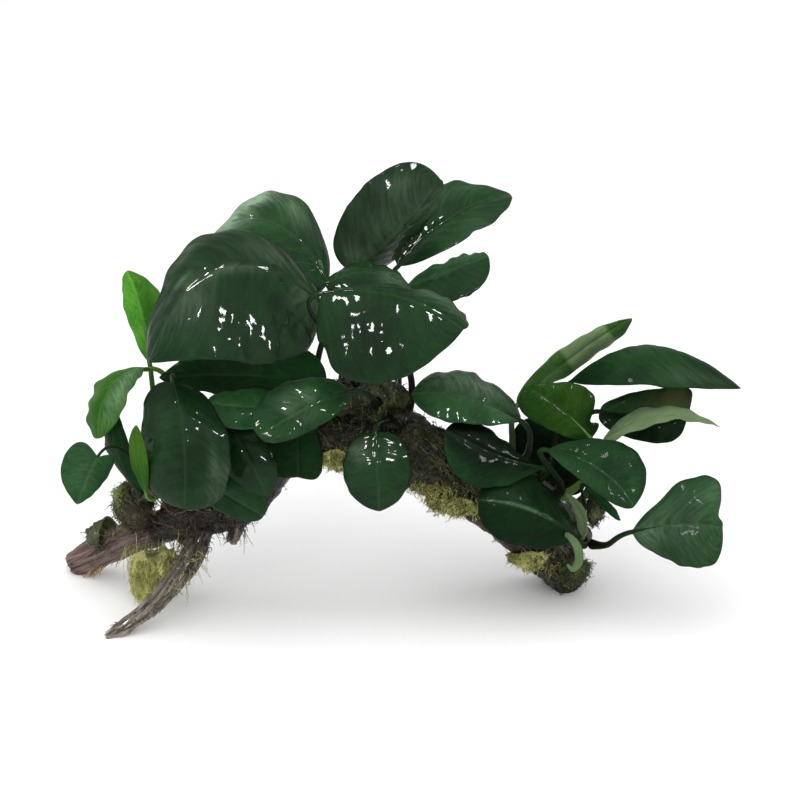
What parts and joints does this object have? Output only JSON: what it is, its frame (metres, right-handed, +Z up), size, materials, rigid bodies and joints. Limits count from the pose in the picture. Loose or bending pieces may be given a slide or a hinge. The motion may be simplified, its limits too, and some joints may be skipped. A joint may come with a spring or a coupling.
{
  "type": "aquarium plant on driftwood",
  "caption": "Broad-leaved anubias grown on an arched, forked piece of driftwood with clumps of moss, standing on three wooden tips.",
  "frame": {"origin": "on the ground under the middle of the whole piece's box", "axes": "+X along the arch, the longest extent, towards the single right foot; +Z up; -Y towards the side that most leaves face"},
  "size_m": [0.2975, 0.1259, 0.1896],
  "materials": {
    "driftwood": "wet, grained and gnarled",
    "rhizome": "waxy green-brown stem with rings",
    "leaf_dark": "very dark green, leathery, wet gloss, with fine side veins",
    "leaf_bright": "young bright green, wet gloss, with fine side veins",
    "leaf_pale": "pale green underside, satin",
    "moss": "fine yellow-green fronds"
  },
  "bodies": {
    "root": {"driftwood_trunk": "driftwood", "driftwood_rear_limb": "driftwood", "driftwood_front_limb": "driftwood", "rhizome_left": "rhizome", "rhizome_centre": "rhizome", "rhizome_right": "rhizome", "leaf_big_left": "leaf_dark", "leaf_big_right": "leaf_dark", "leaf_upper_left": "leaf_dark", "leaf_top_centre": "leaf_dark", "leaf_top_right": "leaf_dark", "leaf_small_centre": "leaf_dark", "leaf_right_of_centre": "leaf_dark", "leaf_left_bright": "leaf_bright", "leaf_left_light": "leaf_bright", "leaf_dark_edge": "leaf_dark", "leaf_spear": "leaf_bright", "leaf_heart": "leaf_dark", "leaf_lower_left": "leaf_dark", "leaf_behind_lower_left": "leaf_dark", "leaf_low_dark": "leaf_dark", "leaf_centre_glossy": "leaf_dark", "leaf_bright_left": "leaf_bright", "leaf_dark_behind": "leaf_dark", "leaf_dark_low": "leaf_dark", "leaf_centre_hanging": "leaf_dark", "leaf_right_of_arch": "leaf_dark", "leaf_young_twisted": "leaf_pale", "leaf_bright_centre": "leaf_bright", "leaf_long_right": "leaf_dark", "leaf_dark_square": "leaf_dark", "leaf_pale_right": "leaf_pale", "leaf_front_green": "leaf_bright", "leaf_narrow_small": "leaf_dark", "leaf_dark_right": "leaf_dark", "leaf_right_low_dark": "leaf_dark", "leaf_lower_front": "leaf_dark", "leaf_strip": "leaf_dark", "leaf_far_right": "leaf_dark", "moss_left_end": "moss", "moss_rear_limb": "moss", "moss_hanging": "moss", "moss_rhizome": "moss", "moss_under_arch": "moss", "moss_centre": "moss", "moss_right_of_centre": "moss", "moss_leg": "moss", "moss_foot": "moss", "moss_right": "moss"}
  },
  "joints": []
}
